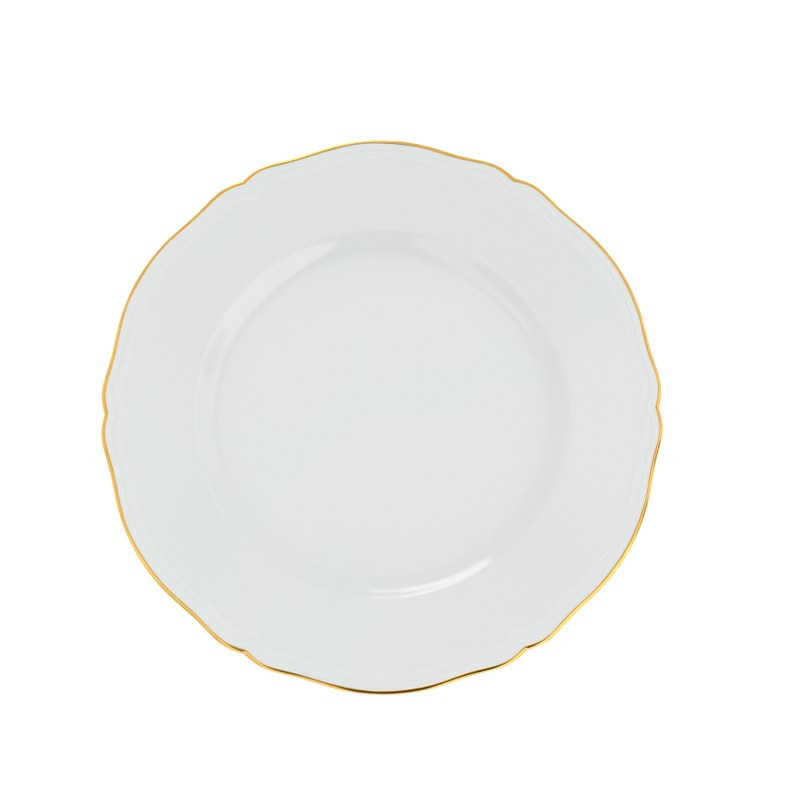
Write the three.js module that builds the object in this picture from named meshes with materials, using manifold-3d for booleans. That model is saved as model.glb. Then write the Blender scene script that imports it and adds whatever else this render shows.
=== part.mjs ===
// A china dinner plate: a flat well, a sloping verge and a broad rim whose edge has six lobes.
// The fired clay body, its two patches of glaze and the gilding on the lip are separate solids.
//
// Millimetres, +Z up. The origin is the middle of the foot ring's resting plane, and +X runs
// through one of the small notches between the lobes of the edge.

import * as THREE from "three";
import { mergeVertices } from "three/addons/utils/BufferGeometryUtils.js";
import Module from "manifold-3d";

// ---- Driving dimensions ----------------------------------------------------

const PLATE_RADIUS = 132.5; // axis to the crest of a lobe
const LIP_TOP = 20.3; // highest point of the lip
const LIP_THICKNESS = 2.7;
const LIP_DEPTH = 2.1; // how far in from the edge the rounding of the lip reaches

const LOBES = 6;
const HALF_LOBE = 180 / LOBES; // degrees from a notch to the crest of a lobe
const COLUMNS_PER_LOBE = 14;
const CROWDING = 0.5; // how far the columns are drawn together at the notches, 0 to 1

const FLOOR_TOP = 7.6; // upper face of the well's floor
const FLOOR_RADIUS = 75.7; // where the floor starts to curve up into the verge
const RIM_RADIUS = 89.7; // where the verge has run out into the rim
const RIM_START = 14.05; // upper face of the rim there
const FLOOR_REACH = 8.5; // how far the curve at the foot of the verge reaches across it
const RIM_REACH = 3.9; // how far the curve at its top does

const RIM_THICKNESS_INNER = 4.1;
const RIM_THICKNESS_OUTER = 3.1;
const UNDER_LIP_DEPTH = 11; // distance in from the edge where the rim is RIM_THICKNESS_OUTER thick
const UNDER_REACH = 4.8; // how far the two curves under the verge reach across it

const FOOT_RADIUS = 77.2; // middle of the tread
const TREAD_WIDTH = 3;
const FOOT_BEVEL = 0.7; // width and height of the bevel on each side of the tread
const FOOT_TOP_RADIUS = 81.2; // where the outer wall of the foot meets the underside
const FOOT_TOP = 4.1;
const RECESS_TOP = 2.9; // underside of the floor, inside the foot ring
const RECESS_RADIUS = 73.2;
const RECESS_FILLET = 0.7; // width and height of the slope in the recess's corner

const GLAZE = 0.2; // thickness of the glaze
const GILDING = 0.1; // thickness of the gold band

// Half of one lobe's edge, from a notch to the crest: degrees, radius, and mm of radius per degree.
const EDGE = [
  { angle: 0, radius: 130.4, slope: 0.52 },
  { angle: 4.7, radius: 132.1, slope: 0 },
  { angle: 9, radius: 131.1, slope: -0.31 },
  { angle: 13, radius: 130.4, slope: 0 },
  { angle: 18, radius: 131.1, slope: 0.235 },
  { angle: HALF_LOBE, radius: PLATE_RADIUS, slope: 0 },
];

// The two moulded lines on the rim's upper face and the hollow between them, from the inner line
// to the lip: distance in from the edge, and height over the plain face.
const RELIEF = [
  { depth: 9.6, height: 0 },
  { depth: 8.6, height: 0.16 },
  { depth: 7.6, height: 0 },
  { depth: 5.8, height: -0.1 },
  { depth: 4.3, height: 0.14 },
  { depth: 3.3, height: 0 },
];
const NOTCH_DIP = 2.5; // how much further in the inner moulded line lies at a notch
const NOTCH_DIP_ANGLE = 4.5; // degrees from the notch where that ends
const NOTCH_DIP_POINT = 2; // the power that makes it pointed
const NOTCH_DIP_DEPTH = 9; // distance in from the edge where it has its full size
const SCALLOP_DEPTH = 11; // the lobes are complete out to here, and fade from here to RIM_RADIUS

const CLAY_COLOUR = 0xe9e9e4;
const GLAZE_COLOUR = 0xf1f4f2;
const GOLD_COLOUR = 0xd9a441;

// ---- The edge's outline ----------------------------------------------------

// Degrees from the nearest notch, 0 to HALF_LOBE, for an angle round the plate in radians.
function degreesFromNotch(angle) {
  const turn = THREE.MathUtils.euclideanModulo(THREE.MathUtils.radToDeg(angle), 2 * HALF_LOBE);
  return Math.min(turn, 2 * HALF_LOBE - turn);
}

// The edge's radius, smooth through every point of EDGE but pointed at the notch.
function edgeRadius(degrees) {
  const next = EDGE.findIndex((knot, i) => i > 0 && degrees <= knot.angle);
  const to = next < 0 ? EDGE.at(-1) : EDGE[next];
  const from = EDGE[EDGE.indexOf(to) - 1];
  const span = to.angle - from.angle;
  const t = (degrees - from.angle) / span;
  const rise = (to.radius - from.radius) * t * t * (3 - 2 * t);
  const leaving = from.slope * span * t * (1 - t) * (1 - t);
  const arriving = to.slope * span * t * t * (t - 1);
  return from.radius + rise + leaving + arriving;
}

// Where a point of the round profile lies once the plate has its lobes.
function scallopedRadius(radius, angle) {
  const degrees = degreesFromNotch(angle);
  const inward = edgeRadius(degrees) - PLATE_RADIUS;
  const nearNotch = Math.max(0, 1 - degrees / NOTCH_DIP_ANGLE) ** NOTCH_DIP_POINT;
  const reached = THREE.MathUtils.smoothstep(PLATE_RADIUS - radius, 0, NOTCH_DIP_DEPTH);
  const share = THREE.MathUtils.smoothstep(radius, RIM_RADIUS, PLATE_RADIUS - SCALLOP_DEPTH);
  return radius + share * (inward - NOTCH_DIP * nearNotch * reached);
}

// ---- The round profile of the finished plate ---------------------------------

function point(radius, height) {
  return new THREE.Vector2(radius, height);
}

const RIM_SLOPE = (LIP_TOP - RIM_START) / (PLATE_RADIUS - LIP_DEPTH - RIM_RADIUS);

// Height of the rim's plain upper face.
function rimTop(radius) {
  return RIM_START + RIM_SLOPE * (radius - RIM_RADIUS);
}

// The floor of the well and the verge, from the axis outwards.
function wellProfile() {
  const inRim = RIM_RADIUS - RIM_REACH;
  const verge = new THREE.CubicBezierCurve(
    point(FLOOR_RADIUS, FLOOR_TOP),
    point(FLOOR_RADIUS + FLOOR_REACH, FLOOR_TOP),
    point(inRim, rimTop(inRim)),
    point(RIM_RADIUS, RIM_START),
  );
  return [point(0, FLOOR_TOP), ...verge.getPoints(6)];
}

// The rim's upper face with its moulded lines.
function rimProfile() {
  return RELIEF.map(({ depth, height }) => {
    const radius = PLATE_RADIUS - depth;
    return point(radius, rimTop(radius) + height);
  });
}

// The rounded lip, from its upper face round to its underside.
function lipProfile() {
  const middle = point(PLATE_RADIUS - LIP_DEPTH, LIP_TOP - LIP_THICKNESS / 2);
  const up = Math.PI / 2;
  const round = new THREE.EllipseCurve(
    middle.x, middle.y, LIP_DEPTH, LIP_THICKNESS / 2, up, -up, true,
  );
  return round.getPoints(4);
}

// The underside of the rim and the verge, from the lip in to the top of the foot ring's wall.
function undersideProfile() {
  const outer = PLATE_RADIUS - UNDER_LIP_DEPTH;
  const inner = RIM_RADIUS + GLAZE;
  const underRim = RIM_START - RIM_THICKNESS_INNER;
  const underVerge = new THREE.CubicBezierCurve(
    point(inner, underRim),
    point(inner - UNDER_REACH, underRim - 0.8),
    point(FOOT_TOP_RADIUS + UNDER_REACH, FOOT_TOP + 1),
    point(FOOT_TOP_RADIUS, FOOT_TOP),
  );
  return [point(outer, rimTop(outer) - RIM_THICKNESS_OUTER), ...underVerge.getPoints(3)];
}

const treadOuter = FOOT_RADIUS + TREAD_WIDTH / 2;
const treadInner = FOOT_RADIUS - TREAD_WIDTH / 2;

// The glazed surface from the middle of the well, round the lip, to the foot ring's outer bevel.
const coatSurface = [
  ...wellProfile(),
  ...rimProfile(),
  ...lipProfile(),
  ...undersideProfile(),
  point(treadOuter + FOOT_BEVEL, FOOT_BEVEL),
];

// The glazed surface inside the foot ring, from its inner bevel to the axis.
const recessSurface = [
  point(treadInner - FOOT_BEVEL, FOOT_BEVEL),
  point(RECESS_RADIUS + RECESS_FILLET, RECESS_TOP - RECESS_FILLET),
  point(RECESS_RADIUS, RECESS_TOP),
  point(0, RECESS_TOP),
];

// Moves a profile along its outward normals. On the axis the normal is upright.
function offset(profile, distance) {
  return profile.map((here, i) => {
    const before = profile[Math.max(i - 1, 0)];
    const after = profile[Math.min(i + 1, profile.length - 1)];
    const along = after.clone().sub(before).normalize();
    const normal = here.x === 0 ? point(0, Math.sign(along.x)) : point(-along.y, along.x);
    return here.clone().addScaledVector(normal, distance);
  });
}

// The bare clay: the tread and its bevels are at the surface, the rest lies under the glaze.
const bodyProfile = [
  ...offset(coatSurface, -GLAZE),
  point(treadOuter, 0),
  point(treadInner, 0),
  ...offset(recessSurface, -GLAZE),
];

// ---- Solids -----------------------------------------------------------------

const wasm = await Module();
wasm.setup();

// Turns a profile round the axis, then draws every turned point in to the outline with lobes. A
// point that is drawn in slides down the slope of the rim, so the rim's plain face stays a cone.
// A profile runs over the top and back underneath, so it is reversed for its faces to look out.
function turned(profile) {
  const geometry = new THREE.LatheGeometry(profile.toReversed(), LOBES * COLUMNS_PER_LOBE);
  geometry.rotateX(Math.PI / 2);
  const place = geometry.getAttribute("position");
  for (let i = 0; i < place.count; i++) {
    const even = Math.atan2(place.getY(i), place.getX(i));
    const angle = even - (CROWDING / LOBES) * Math.sin(LOBES * even);
    const round = Math.hypot(place.getX(i), place.getY(i));
    const radius = scallopedRadius(round, angle);
    const height = place.getZ(i) + RIM_SLOPE * (radius - round);
    place.setXYZ(i, radius * Math.cos(angle), radius * Math.sin(angle), height);
  }
  return geometry;
}

function solid(profile) {
  const geometry = turned(profile);
  geometry.deleteAttribute("normal");
  geometry.deleteAttribute("uv");
  const merged = mergeVertices(geometry, 1e-3);
  return new wasm.Manifold(
    new wasm.Mesh({
      numProp: 3,
      vertProperties: new Float32Array(merged.getAttribute("position").array),
      triVerts: new Uint32Array(merged.index.array),
    }),
  );
}

// What is left of one solid where others fill it. Where their surfaces touch, the cut can leave
// specks with no volume, so only the largest body is kept.
function leftover(whole, ...fillings) {
  const parts = whole.subtract(wasm.Manifold.union(fillings)).decompose();
  return parts.reduce((largest, part) => (part.volume() > largest.volume() ? part : largest));
}

const body = solid(bodyProfile);

// Each coating is the space between its outer surface and what lies under it, so its profile
// is closed inside the clay: half way through the floor, and down the middle of the foot ring.
const insideFloor = (FLOOR_TOP + RECESS_TOP) / 2;

const underCoat = [
  point(FOOT_RADIUS, FOOT_BEVEL),
  point(FOOT_RADIUS, insideFloor),
  point(0, insideFloor),
];
const coat = leftover(solid([...coatSurface, ...underCoat]), body);

const recess = leftover(solid([...underCoat.toReversed(), ...recessSurface]), body);

const gildedLip = offset(lipProfile(), GILDING);
const gilding = leftover(solid([...gildedLip, gildedLip[0]]), coat, body);

function piece(name, manifold, colour, roughness, metalness) {
  const { vertProperties, triVerts } = manifold.getMesh();
  const geometry = new THREE.BufferGeometry();
  geometry.setAttribute("position", new THREE.BufferAttribute(vertProperties, 3));
  geometry.setIndex(new THREE.BufferAttribute(triVerts, 1));
  geometry.computeVertexNormals();
  const mesh = new THREE.Mesh(
    geometry,
    new THREE.MeshStandardMaterial({ color: colour, roughness, metalness }),
  );
  mesh.name = name;
  return mesh;
}

const plate = new THREE.Group();
plate.add(
  piece("porcelain_body", body, CLAY_COLOUR, 0.6, 0),
  piece("glaze_coat", coat, GLAZE_COLOUR, 0.08, 0),
  piece("foot_recess_glaze", recess, GLAZE_COLOUR, 0.1, 0),
  piece("gold_rim_band", gilding, GOLD_COLOUR, 0.2, 1),
);

export default plate;
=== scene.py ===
"""A china dinner plate with a gilded edge of six lobes, on a pale floor under soft studio light."""

import math

import bmesh
import bpy
import numpy as np
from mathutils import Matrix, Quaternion, Vector


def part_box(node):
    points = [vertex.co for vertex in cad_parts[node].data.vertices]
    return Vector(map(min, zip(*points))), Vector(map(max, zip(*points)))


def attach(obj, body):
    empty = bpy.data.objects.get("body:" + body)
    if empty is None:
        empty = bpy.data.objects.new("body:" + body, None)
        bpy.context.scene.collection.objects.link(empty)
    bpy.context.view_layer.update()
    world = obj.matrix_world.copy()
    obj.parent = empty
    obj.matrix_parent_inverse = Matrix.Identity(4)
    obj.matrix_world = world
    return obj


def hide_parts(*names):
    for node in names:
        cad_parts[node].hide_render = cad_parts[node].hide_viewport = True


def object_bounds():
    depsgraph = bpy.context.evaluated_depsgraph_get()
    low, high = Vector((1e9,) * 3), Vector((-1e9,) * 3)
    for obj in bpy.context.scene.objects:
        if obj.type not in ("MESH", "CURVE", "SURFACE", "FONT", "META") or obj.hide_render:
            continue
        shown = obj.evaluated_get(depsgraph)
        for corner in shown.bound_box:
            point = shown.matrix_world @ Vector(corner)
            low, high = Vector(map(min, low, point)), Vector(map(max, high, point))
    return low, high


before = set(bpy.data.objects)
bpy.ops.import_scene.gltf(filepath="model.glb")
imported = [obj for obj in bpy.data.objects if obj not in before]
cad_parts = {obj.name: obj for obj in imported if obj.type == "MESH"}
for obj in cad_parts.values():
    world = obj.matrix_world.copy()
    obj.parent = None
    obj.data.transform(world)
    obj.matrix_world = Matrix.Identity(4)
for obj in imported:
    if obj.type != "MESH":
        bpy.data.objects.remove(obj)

frame_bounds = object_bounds()

MM = 0.001

# ---- Dimensions, in metres --------------------------------------------------

coat_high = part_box("glaze_coat")[1]
clay_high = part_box("porcelain_body")[1]
recess_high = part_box("foot_recess_glaze")[1]
gold_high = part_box("gold_rim_band")[1]

CREST = coat_high.y  # axis to the crest of a lobe
LIP_TOP = coat_high.z
GLAZE = coat_high.y - clay_high.y  # thickness of the glaze
GILDING = gold_high.y - coat_high.y  # thickness of the gold
RECESS_TOP = recess_high.z - GLAZE

LOBES = 6
HALF_LOBE = 30.0  # degrees from a notch to the crest of a lobe
COLUMNS = 324
CROWDING = 0.5  # how far the columns are drawn together at the notches

# Half of one lobe's edge, from a notch to the crest: degrees, metres inside the crest, metres
# per degree.
EDGE = np.array([
    (0, -2.1 * MM, 0.52 * MM),
    (4.7, -0.4 * MM, 0),
    (9, -1.4 * MM, -0.31 * MM),
    (13, -2.1 * MM, 0),
    (18, -1.4 * MM, 0.235 * MM),
    (HALF_LOBE, 0, 0),
])
NOTCH_DIP = 2.5 * MM  # how much further in the inner moulded line lies at a notch
NOTCH_DIP_ANGLE = 4.5  # degrees from the notch to where the dip ends
NOTCH_DIP_POINT = 2  # the power that makes the dip pointed
NOTCH_DIP_DEPTH = 9 * MM  # how far inside the crest the dip has grown to the whole
SCALLOP_DEPTH = 11 * MM  # further inside the crest than this, the lobes fade towards the verge

FLOOR_TOP = 7.6 * MM
FLOOR_RADIUS = 75.7 * MM  # where the floor starts to curve up into the verge
RIM_RADIUS = 89.7 * MM  # where the verge has run out into the rim
RIM_START = 14.05 * MM  # height there
RIM_MARGIN = 2 * MM  # how far out from there the rim's own rows start
FLOOR_REACH = 8.5 * MM  # how far the curve at the foot of the verge reaches across it
RIM_REACH = 3.9 * MM  # how far the curve at its top does
UNDER_REACH = 4.8 * MM  # how far each curve of the verge's underside does
UNDER_RIM_DROP = 0.8 * MM  # how far the underside's upper curve leads down
UNDER_FOOT_RISE = MM  # how far its lower curve starts upwards
LIP_THICKNESS = 2.7 * MM
LIP_DEPTH = 2.1 * MM
LIP_START = 1.3 * LIP_DEPTH  # how far inside the crest the rim's own rows end
RIM_THICKNESS_INNER = 4.1 * MM
RIM_THICKNESS_OUTER = 3.1 * MM
UNDER_LIP_DEPTH = 11 * MM  # how far inside the crest the rim is that thick
TREAD_OUTER = 78.7 * MM
TREAD_INNER = 75.7 * MM
FOOT_BEVEL = 0.7 * MM
FOOT_TOP_RADIUS = 81.2 * MM
FOOT_TOP = 4.1 * MM
FOOT_BEND = (80.7 * MM, 2.9 * MM)  # radius and height where the ring's outer side bends
RECESS_RADIUS = 73.2 * MM
RECESS_FILLET = 0.7 * MM
RECESS_BEND = (0.3, 0.2)  # its middle: out from that radius and down from the top, in fillets

# The moulded lines of the rim's upper face, from the inner line out: distance in from the edge,
# half the line's width, its height, and how much paler its glaze is drawn, 0 to 1: partly glaze
# run off it, partly a painted highlight that stands in for light on its relief.
RELIEF = (
    (9.7 * MM, 0.9 * MM, -0.05 * MM, 0),
    (8.6 * MM, 0.7 * MM, 0.05 * MM, 0.8),
    (7.1 * MM, 0.7 * MM, 0.02 * MM, 0.25),
    (5.6 * MM, 1.3 * MM, -0.05 * MM, 0),
    (4.3 * MM, 0.9 * MM, 0.05 * MM, 0.5),
)
RELIEF_DEPTH = 10.8 * MM  # the rim is plain further in than this
RELIEF_STEP = 0.2 * MM
RELIEF_MARGIN = MM  # how far inside the moulded rows the last plain one lies

GOLD_SPAN = (0.03, 0.97)  # where the gold starts and ends on the lip: 0 is its top, 1 its bottom
GOLD_WANDER = 0.12 * MM  # how far the painted edge of the gold strays
GOLD_WAVES = ((3, 0.4), (7, 2.1), (16, 0.9), (29, 4.4))  # how it strays: waves a turn, start
GOLD_SHIFT = COLUMNS // 5  # how far round from the upper edge's waves the lower edge's lie
GOLD_THIN = 0.3  # the gold's thickness at its edges, as a share of the whole
GOLD_TAPER = 0.12  # how far in from each edge it is thinner, as a share of its width

# How many rows of points each part of the profile has.
VERGE_ROWS = 30
RIM_ROWS = 10
LIP_ROWS = 22
UNDER_RIM_ROWS = 8
UNDER_VERGE_ROWS = 16
GOLD_ROWS = 20
FLOOR_ROWS = np.array((0, 4, 12, 22, 32, 42, 52, 60, 66, 71)) * MM  # their radii in the well
RECESS_ROWS = np.array((60, 40, 20, 0)) * MM  # their radii inside the foot ring


# ---- The edge's outline -----------------------------------------------------

def smoothstep(value, low, high):
    t = np.clip((value - low) / (high - low), 0, 1)
    return t * t * (3 - 2 * t)


def degrees_from_notch(angle):
    turn = np.mod(np.degrees(angle), 2 * HALF_LOBE)
    return np.minimum(turn, 2 * HALF_LOBE - turn)


def edge_inset(degrees):
    """How far inside the crest the edge lies, smooth through every row of EDGE."""
    knot, inset, slope = EDGE.T
    to = np.clip(np.searchsorted(knot, degrees), 1, len(knot) - 1)
    span = knot[to] - knot[to - 1]
    t = (degrees - knot[to - 1]) / span
    rise = (inset[to] - inset[to - 1]) * t * t * (3 - 2 * t)
    leaving = slope[to - 1] * span * t * (1 - t) ** 2
    arriving = slope[to] * span * t * t * (t - 1)
    return inset[to - 1] + rise + leaving + arriving


def scalloped(radius, angle):
    """Where a point of the round profile lies once the plate has its lobes."""
    degrees = degrees_from_notch(angle)
    near_notch = np.maximum(0, 1 - degrees / NOTCH_DIP_ANGLE) ** NOTCH_DIP_POINT
    reached = smoothstep(CREST - radius, 0, NOTCH_DIP_DEPTH)
    share = smoothstep(radius, RIM_RADIUS, CREST - SCALLOP_DEPTH)
    return radius + share * (edge_inset(degrees) - NOTCH_DIP * near_notch * reached)


# ---- The round profile of the finished plate ----------------------------------

RIM_SLOPE = (LIP_TOP - RIM_START) / (CREST - LIP_DEPTH - RIM_RADIUS)


def rim_line(radius):
    """Height of the rim's plain upper face."""
    return RIM_START + RIM_SLOPE * (radius - RIM_RADIUS)


def bezier(p0, p1, p2, p3, count):
    t = np.linspace(0, 1, count)[:, None]
    p0, p1, p2, p3 = map(np.array, (p0, p1, p2, p3))
    return p0 * (1 - t) ** 3 + 3 * p1 * t * (1 - t) ** 2 + 3 * p2 * t * t * (1 - t) + p3 * t ** 3


def well_profile():
    floor = np.column_stack((FLOOR_ROWS, np.full_like(FLOOR_ROWS, FLOOR_TOP)))
    in_rim = RIM_RADIUS - RIM_REACH
    verge = bezier(
        (FLOOR_RADIUS, FLOOR_TOP),
        (FLOOR_RADIUS + FLOOR_REACH, FLOOR_TOP),
        (in_rim, rim_line(in_rim)),
        (RIM_RADIUS, RIM_START),
        VERGE_ROWS,
    )
    return np.vstack((floor, verge))


def relief(depth):
    """Height of the moulded lines over the plain rim, and how pale their glaze is drawn: partly
    thinner glaze, partly a painted highlight.
    """
    height, bare_and_lit = np.zeros((2, len(depth)))
    for middle, half_width, peak, run_off_and_lit in RELIEF:
        across = np.clip(np.abs(depth - middle) / half_width, 0, 1)
        height += peak * (1 - across ** 2) ** 2
        bare_and_lit += run_off_and_lit * (1 - across ** 2) ** 2
    return height, bare_and_lit


def rim_profile():
    moulded_start = CREST - RELIEF_DEPTH
    plain = np.linspace(RIM_RADIUS + RIM_MARGIN, moulded_start - RELIEF_MARGIN, RIM_ROWS)
    moulded = np.arange(moulded_start, CREST - LIP_START, RELIEF_STEP)
    radius = np.concatenate((plain, moulded))
    return np.column_stack((radius, rim_line(radius) + relief(CREST - radius)[0]))


def lip_point(turn):
    """A point of the rounded lip: 0 is its highest point, 1 its lowest."""
    angle = math.pi / 2 - math.pi * np.asarray(turn)
    radius = CREST - LIP_DEPTH + LIP_DEPTH * np.cos(angle)
    height = LIP_TOP - LIP_THICKNESS / 2 + LIP_THICKNESS / 2 * np.sin(angle)
    return radius, height


def underside_profile():
    outer = CREST - UNDER_LIP_DEPTH
    under_rim = RIM_START - RIM_THICKNESS_INNER
    plain_radius = np.linspace(outer, RIM_RADIUS + RIM_MARGIN, UNDER_RIM_ROWS)
    outer_height = rim_line(outer) - RIM_THICKNESS_OUTER
    plain_height = np.interp(plain_radius, (RIM_RADIUS, outer), (under_rim, outer_height))
    verge = bezier(
        (RIM_RADIUS, under_rim),
        (RIM_RADIUS - UNDER_REACH, under_rim - UNDER_RIM_DROP),
        (FOOT_TOP_RADIUS + UNDER_REACH, FOOT_TOP + UNDER_FOOT_RISE),
        (FOOT_TOP_RADIUS, FOOT_TOP),
        UNDER_VERGE_ROWS,
    )
    foot = (FOOT_BEND, (TREAD_OUTER + FOOT_BEVEL, FOOT_BEVEL))
    return np.vstack((np.column_stack((plain_radius, plain_height)), verge, foot))


def offset(profile, distance):
    """Moves a profile along its outward normals. On the axis the normal is upright."""
    along = np.gradient(profile, axis=0)
    along /= np.linalg.norm(along, axis=1, keepdims=True)
    normal = np.column_stack((-along[:, 1], along[:, 0]))
    on_axis = profile[:, 0] == 0
    normal[on_axis] = np.column_stack((along[on_axis, 1] * 0, np.sign(along[on_axis, 0])))
    return profile + distance * normal


# ---- Meshes -----------------------------------------------------------------

def column_angles():
    even = np.arange(COLUMNS) / COLUMNS * 2 * math.pi
    return even - CROWDING / LOBES * np.sin(LOBES * even)


def turned(name, profile, looped=False, bare_and_lit=None):
    """Turns a profile round the axis and draws it in to the lobes. What is drawn in slides down the
    slope of the rim, so the rim's plain face stays a cone.

    The profile has one radius and height per row, or one per row and column. It starts and ends
    on the axis, or is looped: its last row joins its first. The numbers in bare, one per row, how
    pale the glaze is drawn over the moulded lines, with their painted highlight, are kept for the
    material."""
    radius, height = profile if isinstance(profile, tuple) else profile.T[:, :, None]
    angle = column_angles()
    ring = scalloped(radius, angle) if looped else np.where(radius > 0, scalloped(radius, angle), 0)
    slid = height + RIM_SLOPE * (ring - radius)
    place = np.stack((ring * np.cos(angle), ring * np.sin(angle), slid), axis=-1)
    rows = len(place)
    row = np.arange(rows if looped else rows - 1)[:, None]
    column = np.arange(COLUMNS)[None, :]
    here = row * COLUMNS + column
    beside = row * COLUMNS + (column + 1) % COLUMNS
    below = (row + 1) % rows * COLUMNS + column
    below_beside = (row + 1) % rows * COLUMNS + (column + 1) % COLUMNS
    faces = np.stack((here, below, below_beside, beside), axis=-1).reshape(-1, 4)

    mesh = bpy.data.meshes.new(name)
    mesh.from_pydata(place.reshape(-1, 3).tolist(), [], faces.tolist())
    u = np.stack(np.broadcast_arrays(column, column, column + 1, column + 1), axis=-1) / COLUMNS
    v = np.stack(np.broadcast_arrays(row, row + 1, row + 1, row), axis=-1) / rows
    u = np.broadcast_to(u, (len(row), COLUMNS, 4))
    v = np.broadcast_to(v, (len(row), COLUMNS, 4))
    uv = mesh.uv_layers.new(name="UVMap")
    uv.data.foreach_set("uv", np.stack((u, v), axis=-1).astype(np.float32).ravel())
    if bare_and_lit is not None:
        kept = mesh.attributes.new(name="bare_and_lit", type="FLOAT", domain="POINT")
        kept.data.foreach_set("value", np.repeat(bare_and_lit, COLUMNS).astype(np.float32))
    if not looped:
        join_poles(mesh)
    mesh.shade_smooth()
    obj = bpy.data.objects.new(name, mesh)
    bpy.context.scene.collection.objects.link(obj)
    return obj


POLE_WIDTH = 0.01 * MM


def join_poles(mesh):
    """Joins the vertices of the first and the last row, which all lie on the axis."""
    made = bmesh.new()
    made.from_mesh(mesh)
    on_axis = [v for v in made.verts if math.hypot(v.co.x, v.co.y) < POLE_WIDTH]
    bmesh.ops.remove_doubles(made, verts=on_axis, dist=POLE_WIDTH)
    made.to_mesh(mesh)
    made.free()


coat_surface = np.vstack((
    well_profile(),
    rim_profile(),
    np.column_stack(lip_point(np.linspace(0, 1, LIP_ROWS))),
    underside_profile(),
))
recess_surface = np.array([
    (TREAD_INNER - FOOT_BEVEL, FOOT_BEVEL),
    (RECESS_RADIUS + RECESS_FILLET, RECESS_TOP - RECESS_FILLET),
    (RECESS_RADIUS + RECESS_BEND[0] * RECESS_FILLET, RECESS_TOP - RECESS_BEND[1] * RECESS_FILLET),
    (RECESS_RADIUS - RECESS_FILLET, RECESS_TOP),
    *((radius, RECESS_TOP) for radius in RECESS_ROWS),
])
under_coat = offset(coat_surface, -GLAZE)
under_recess = offset(recess_surface, -GLAZE)


def make_clay():
    tread = np.array(((TREAD_OUTER, 0), (TREAD_INNER, 0)))
    return turned("porcelain_clay", np.vstack((under_coat, tread, under_recess)))


def make_coat():
    profile = np.vstack((coat_surface, under_coat[::-1]))
    return turned("glaze_coat_skin", profile, bare_and_lit=relief(CREST - profile[:, 0])[1])


def make_recess_glaze():
    return turned("recess_glaze_skin", np.vstack((recess_surface, under_recess[::-1])))


def make_gold():
    """The gold band: a film over the lip whose two painted edges stray a little."""
    angle = column_angles()
    waves = sum(np.sin(count * angle + start) for count, start in GOLD_WAVES)
    stray = GOLD_WANDER / LIP_DEPTH * waves / len(GOLD_WAVES)
    top_edge = GOLD_SPAN[0] + stray
    low_edge = GOLD_SPAN[1] - np.roll(stray, GOLD_SHIFT)
    share = np.linspace(0, 1, GOLD_ROWS)[:, None]
    turn = top_edge + (low_edge - top_edge) * share
    radius, height = lip_point(turn)
    slope = math.pi / 2 - math.pi * turn
    full = smoothstep(np.minimum(share, 1 - share), 0, GOLD_TAPER)
    film = GILDING * (GOLD_THIN + (1 - GOLD_THIN) * full)
    outer = (radius + film * np.cos(slope), height + film * np.sin(slope))
    profile = tuple(np.vstack((out, inner[::-1])) for out, inner in zip(outer, (radius, height)))
    return turned("gold_band_film", profile, looped=True)


# ---- Materials --------------------------------------------------------------

def add(tree, kind, inputs=None, **settings):
    """Adds a node. An input is a value, or a socket to link from."""
    node = tree.nodes.new(kind)
    for name, value in settings.items():
        setattr(node, name, value)
    for name, value in (inputs or {}).items():
        if isinstance(value, bpy.types.NodeSocket):
            tree.links.new(value, node.inputs[name])
        else:
            node.inputs[name].default_value = value
    return node


def start_material(name):
    material = bpy.data.materials.new(name)
    material.use_nodes = True
    tree = material.node_tree
    shader = tree.nodes["Principled BSDF"]
    place = add(tree, "ShaderNodeTexCoord").outputs["Object"]
    return material, tree, shader, place


def noise(tree, place, scale, detail=2.0, roughness=0.5):
    inputs = {"Vector": place, "Scale": scale, "Detail": detail, "Roughness": roughness}
    return add(tree, "ShaderNodeTexNoise", inputs).outputs["Fac"]


def ranged(tree, value, low, high, to_low, to_high):
    inputs = {"Value": value, "From Min": low, "From Max": high, "To Min": to_low, "To Max": to_high}
    return add(tree, "ShaderNodeMapRange", inputs).outputs["Result"]


def calculated(tree, operation, first, second=0.0):
    return add(tree, "ShaderNodeMath", {0: first, 1: second}, operation=operation).outputs[0]


def mixed(tree, factor, first, second):
    node = add(tree, "ShaderNodeMix", data_type="RGBA")
    for name, value in (("Factor", factor), ("A", first), ("B", second)):
        kind = "VALUE" if name == "Factor" else "RGBA"
        socket = next(s for s in node.inputs if s.name == name and s.type == kind)
        if isinstance(value, bpy.types.NodeSocket):
            tree.links.new(value, socket)
        else:
            socket.default_value = value
    return next(s for s in node.outputs if s.type == "RGBA")


def bump(tree, height, distance, before=None):
    inputs = {"Height": height, "Distance": distance, "Strength": 1.0}
    if before is not None:
        inputs["Normal"] = before
    return add(tree, "ShaderNodeBump", inputs).outputs["Normal"]


def specks(tree, place, scale, share, size):
    """1 inside rare small round specks: one cell in 1/share has one, size is a part of a cell."""
    voronoi = add(tree, "ShaderNodeTexVoronoi", {"Vector": place, "Scale": scale})
    chosen = calculated(tree, "LESS_THAN", voronoi.outputs["Color"], share)
    inside = ranged(tree, voronoi.outputs["Distance"], size, 0.5 * size, 0, 1)
    return calculated(tree, "MULTIPLY", chosen, inside)


GLAZE_COOL = (0.841, 0.872, 0.868)
GLAZE_WARM = (0.852, 0.877, 0.868)
GLAZE_DULL = (0.825, 0.855, 0.848)
GLAZE_THIN_AND_LIT = (0.885, 0.915, 0.905)  # where it has run off the moulded lines, and a painted highlight of those lines
SPECK = (0.30, 0.24, 0.19, 1)
GLAZE_IOR = 1.6
FACE_TINT = (1, 1, 1)
RECESS_TINT = (0.97, 0.97, 0.98)

CLAY_DARK = (0.66, 0.62, 0.55, 1)
CLAY_PALE = (0.78, 0.75, 0.69, 1)
CLAY_WORN = (0.45, 0.43, 0.40, 1)

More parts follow.
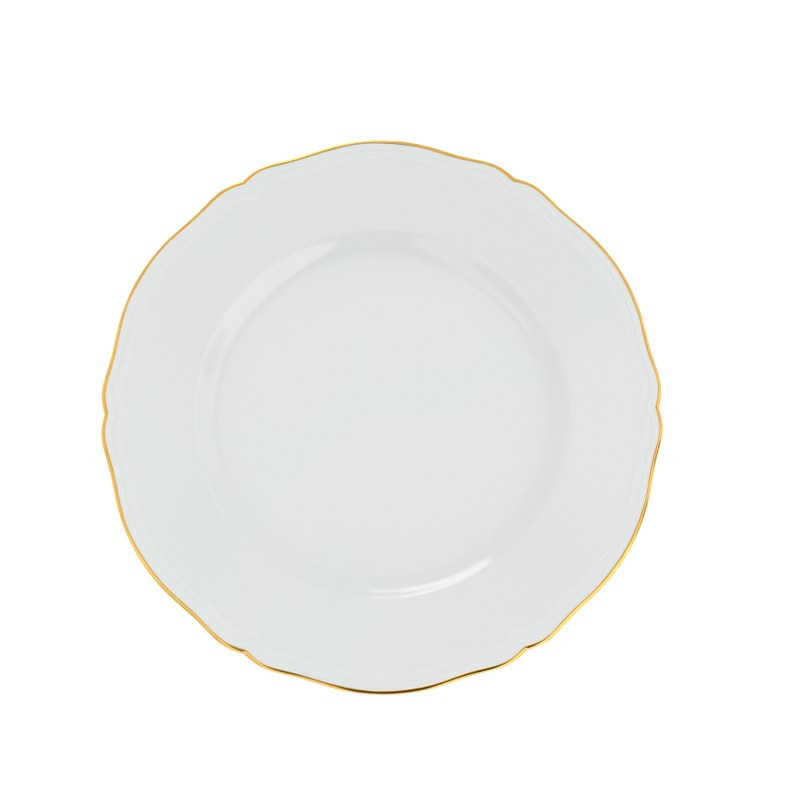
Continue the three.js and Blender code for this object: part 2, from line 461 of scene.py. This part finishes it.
GOLD_DEEP = (0.82, 0.48, 0.11, 1)
GOLD_PALE = (0.92, 0.60, 0.19, 1)
GOLD_PATCH = (0.78, 0.44, 0.10, 1)
GOLD_STROKES = (60, 5, 1)  # how closely the brush strokes lie round the lip and across it


def tinted(colour, tint):
    return tuple(part * share for part, share in zip(colour, tint)) + (1,)


def glaze_material(name, tint):
    """Clear glossy glaze on white china: faintly uneven colour, rare specks, soft waviness."""
    material, tree, shader, place = start_material(name)
    cloud = ranged(tree, noise(tree, place, 14, 3), 0.35, 0.65, 0, 1)
    mottle = ranged(tree, noise(tree, place, 260, 3), 0.3, 0.7, 0, 0.25)
    clouded = mixed(tree, cloud, tinted(GLAZE_COOL, tint), tinted(GLAZE_WARM, tint))
    mottled = mixed(tree, mottle, clouded, tinted(GLAZE_DULL, tint))
    # Paler over the moulded lines: partly thinner glaze there, partly a painted highlight of the
    # lines.
    bare_and_lit = add(tree, "ShaderNodeAttribute", attribute_name="bare_and_lit").outputs["Fac"]
    ground = mixed(tree, bare_and_lit, mottled, tinted(GLAZE_THIN_AND_LIT, tint))
    speck = specks(tree, place, 130, 0.03, 0.035)
    colour = mixed(tree, speck, ground, SPECK)
    tree.links.new(colour, shader.inputs["Base Color"])
    rough = ranged(tree, noise(tree, place, 45, 4), 0.3, 0.7, 0.02, 0.05)
    tree.links.new(rough, shader.inputs["Roughness"])
    wave = bump(tree, noise(tree, place, 70, 1), 0.03 * MM)
    peel = bump(tree, noise(tree, place, 420, 2), 0.002 * MM, wave)
    pinhole = bump(tree, specks(tree, place, 210, 0.02, 0.05), -0.03 * MM, peel)
    tree.links.new(pinhole, shader.inputs["Normal"])
    shader.inputs["IOR"].default_value = GLAZE_IOR
    return material


def clay_material():
    """Bare fired clay of the tread: matt, slightly warm, with a fine grain and grey wear."""
    material, tree, shader, place = start_material("bare_porcelain")
    grain = ranged(tree, noise(tree, place, 1500, 4, 0.7), 0.3, 0.7, 0, 1)
    ground = mixed(tree, grain, CLAY_DARK, CLAY_PALE)
    wear = ranged(tree, noise(tree, place, 90, 5, 0.65), 0.52, 0.7, 0, 0.55)
    tree.links.new(mixed(tree, wear, ground, CLAY_WORN), shader.inputs["Base Color"])
    tree.links.new(ranged(tree, grain, 0, 1, 0.62, 0.85), shader.inputs["Roughness"])
    tree.links.new(bump(tree, grain, 0.06 * MM), shader.inputs["Normal"])
    return material


def gold_material():
    """Burnished gold, brushed on by hand along the lip: uneven in depth of colour and polish."""
    material, tree, shader, place = start_material("burnished_gold")
    uv = add(tree, "ShaderNodeTexCoord").outputs["UV"]
    along = add(tree, "ShaderNodeMapping", {"Vector": uv, "Scale": GOLD_STROKES}).outputs["Vector"]
    stroke = ranged(tree, noise(tree, along, 3, 4, 0.6), 0.3, 0.7, 0, 1)
    patch = ranged(tree, noise(tree, place, 120, 3), 0.35, 0.65, 0, 1)
    brushed = mixed(tree, stroke, GOLD_DEEP, GOLD_PALE)
    colour = mixed(tree, ranged(tree, patch, 0, 1, 0, 0.4), brushed, GOLD_PATCH)
    tree.links.new(colour, shader.inputs["Base Color"])
    tree.links.new(ranged(tree, patch, 0, 1, 0.04, 0.09), shader.inputs["Roughness"])
    tree.links.new(bump(tree, stroke, 0.004 * MM), shader.inputs["Normal"])
    shader.inputs["Metallic"].default_value = 1.0
    return material


def dress(obj, material, node):
    obj.data.materials.append(material)
    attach(obj, "root")
    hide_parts(node)


dress(make_clay(), clay_material(), "porcelain_body")
dress(make_coat(), glaze_material("china_glaze", FACE_TINT), "glaze_coat")
dress(
    make_recess_glaze(),
    glaze_material("recess_glaze", RECESS_TINT),
    "foot_recess_glaze",
)
dress(make_gold(), gold_material(), "gold_rim_band")


# ---- Floor, light and camera --------------------------------------------------

FLOOR_SIZE = 12.0
FLOOR_COLOUR = (0.85, 0.85, 0.85, 1)
FLOOR_GLOW = 0.5  # how brightly it glows for the camera and in reflections, so that it stays white


def make_floor():
    bpy.ops.mesh.primitive_plane_add(size=FLOOR_SIZE, location=(0, 0, frame_bounds[0][2]))
    floor = bpy.context.object
    floor.name = "studio_floor"
    material, tree, shader, _ = start_material("pale_floor")
    shader.inputs["Base Color"].default_value = FLOOR_COLOUR
    shader.inputs["Roughness"].default_value = 0.9
    shader.inputs["Specular IOR Level"].default_value = 0.0
    shader.inputs["Emission Color"].default_value = (1, 1, 1, 1)
    ray = add(tree, "ShaderNodeLightPath").outputs
    seen = calculated(tree, "ADD", ray["Is Camera Ray"], ray["Is Glossy Ray"])
    glow = calculated(tree, "MULTIPLY", seen, FLOOR_GLOW)
    tree.links.new(glow, shader.inputs["Emission Strength"])
    floor.data.materials.append(material)


def window(tree, value, low, high, soft):
    """1 between low and high, fading to 0 over the width soft at each end."""
    rise = ranged(tree, value, low - soft / 2, low + soft / 2, 0, 1)
    fall = ranged(tree, value, high - soft / 2, high + soft / 2, 1, 0)
    return calculated(tree, "MULTIPLY", rise, fall)


WALLS = 0.785  # brightness of the tent's walls
BACKDROP = 1.05  # brightness of what the camera sees behind the floor

# Lit and dark areas of the white tent round the plate. Each has the degrees from overhead towards
# the east (from, to) and towards the north (from, to), the softness of its edge in degrees, and
# how much brighter it is than the tent's walls.
PANELS = (
    ((-14, 20), (-66, -13), 4, -0.73),  # the gap that the camera looks through
    ((-24, 24), (-14, 19), 6, -0.2),  # the tent's top, far from the lamps
    ((-16, 16), (6, 16), 4, 0.55),  # opening overhead
    ((10, 24), (4, 19), 4, -0.4),  # seam on the camera's right
    ((20, 80), (-95, -7), 4, 0.8),  # large panel on the camera's right
    ((45, 90), (-100, -47), 6, -0.55),  # its far corner, in shade
    ((24, 90), (-5, 34), 8, 0.3),  # wall beyond it
    ((35, 50), (-2, 10), 3, 0.35),  # small panel further right
    ((58, 85), (-22, -4), 3, -1.0),  # dark corner between the two
    ((-78, -14), (-75, -10), 6, 0.35),  # large panel on the camera's left
    ((-64, -36), (-62, -28), 4, -0.4),  # darker pane in it
    ((-44, -12), (-19, -4), 4, 0.4),  # its bright upper edge
    ((-90, -26), (-6, 34), 8, 0.2),  # wall beyond it
    ((-110, -2), (35, 110), 26, -0.05),  # unlit wall behind the plate on the left
    ((-40, -6), (67, 86), 4, 0.9),  # low strip lamp behind the plate
    ((-40, 6), (70, 84), 4, 1.4),  # its brighter middle, which reaches further right
)


def make_world():
    """A white tent with lit panels, as the plate sees it. The camera sees an even pale backdrop."""
    world = bpy.data.worlds.new("studio")
    world.use_nodes = True
    tree = world.node_tree
    tree.nodes.clear()
    direction = add(tree, "ShaderNodeTexCoord").outputs["Generated"]
    part = add(tree, "ShaderNodeSeparateXYZ", {"Vector": direction}).outputs
    tilt = calculated(tree, "DEGREES", calculated(tree, "ARCCOSINE", part["Z"]))
    bearing = calculated(tree, "ARCTAN2", part["X"], part["Y"])
    east = calculated(tree, "MULTIPLY", tilt, calculated(tree, "SINE", bearing))
    north = calculated(tree, "MULTIPLY", tilt, calculated(tree, "COSINE", bearing))
    level = WALLS
    for across, along, soft, brightness in PANELS:
        in_east = window(tree, east, *across, soft)
        in_north = window(tree, north, *along, soft)
        inside = calculated(tree, "MULTIPLY", in_east, in_north)
        level = calculated(tree, "ADD", calculated(tree, "MULTIPLY", inside, brightness), level)
    light = add(tree, "ShaderNodeBackground", {"Color": (1, 1, 1, 1), "Strength": level})
    backdrop = add(tree, "ShaderNodeBackground", {"Color": (1, 1, 1, 1), "Strength": BACKDROP})
    seen = add(tree, "ShaderNodeLightPath").outputs["Is Camera Ray"]
    mix = add(
        tree, "ShaderNodeMixShader", {0: seen, 1: light.outputs[0], 2: backdrop.outputs[0]}
    )
    add(tree, "ShaderNodeOutputWorld", {"Surface": mix.outputs[0]})
    bpy.context.scene.world = world


# The camera's place, in degrees and metres, and where it looks.
AZIMUTH = -4.54
ELEVATION = 79.15
ROLL = 3.76
DISTANCE = 1.0456
AIM = (8.4 * MM, 5.2 * MM, LIP_TOP - LIP_THICKNESS / 2)
LENS = 100  # focal length, in millimetres
SENSOR = 36  # width of the sensor, in millimetres


def make_camera():
    azimuth, elevation, roll = map(math.radians, (AZIMUTH, ELEVATION, ROLL))
    back = Vector((
        math.sin(azimuth) * math.cos(elevation),
        -math.cos(azimuth) * math.cos(elevation),
        math.sin(elevation),
    ))
    data = bpy.data.cameras.new("camera")
    data.lens = LENS
    data.sensor_width = SENSOR
    camera = bpy.data.objects.new("camera", data)
    camera.location = Vector(AIM) + DISTANCE * back
    camera.rotation_mode = "QUATERNION"
    facing = (-back).to_track_quat("-Z", "Y")
    camera.rotation_quaternion = facing @ Quaternion((0, 0, 1), roll)
    bpy.context.scene.collection.objects.link(camera)
    bpy.context.scene.camera = camera


make_floor()
make_world()
make_camera()
bpy.context.scene.view_settings.view_transform = "Standard"
